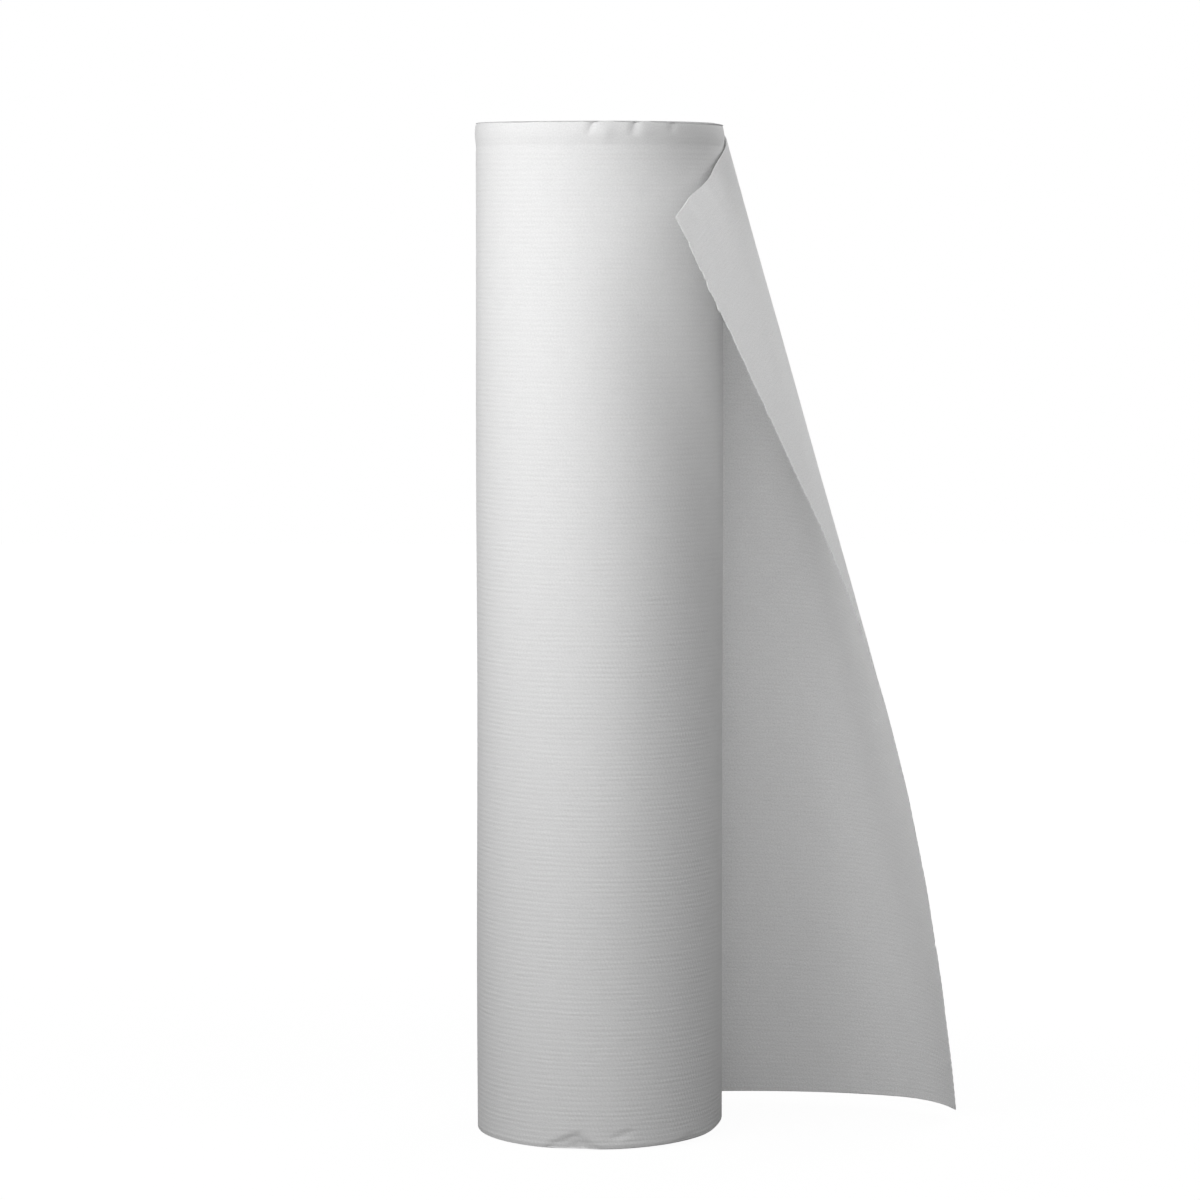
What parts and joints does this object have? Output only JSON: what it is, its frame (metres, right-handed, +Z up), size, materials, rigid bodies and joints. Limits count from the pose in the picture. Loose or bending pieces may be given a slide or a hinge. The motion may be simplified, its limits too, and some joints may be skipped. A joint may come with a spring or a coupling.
{
  "type": "exam table paper roll",
  "caption": "Roll of white embossed exam table paper wound on a cardboard core, standing on end, with its loose outer sheet swung out and its upper corner turned over.",
  "frame": {"origin": "on the core's axis at the roll's lower end", "axes": "+Z up along the core, -Y towards the viewer, +X towards the side where the loose sheet swings out"},
  "size_m": [0.2413, 0.1799, 0.5],
  "materials": {
    "embossed_paper": "matt white tissue with a fine embossed dot pattern",
    "core_board": "spiral-wound grey-brown board"
  },
  "bodies": {
    "root": {"paper_roll": "embossed_paper", "core_tube": "core_board"}
  },
  "joints": []
}
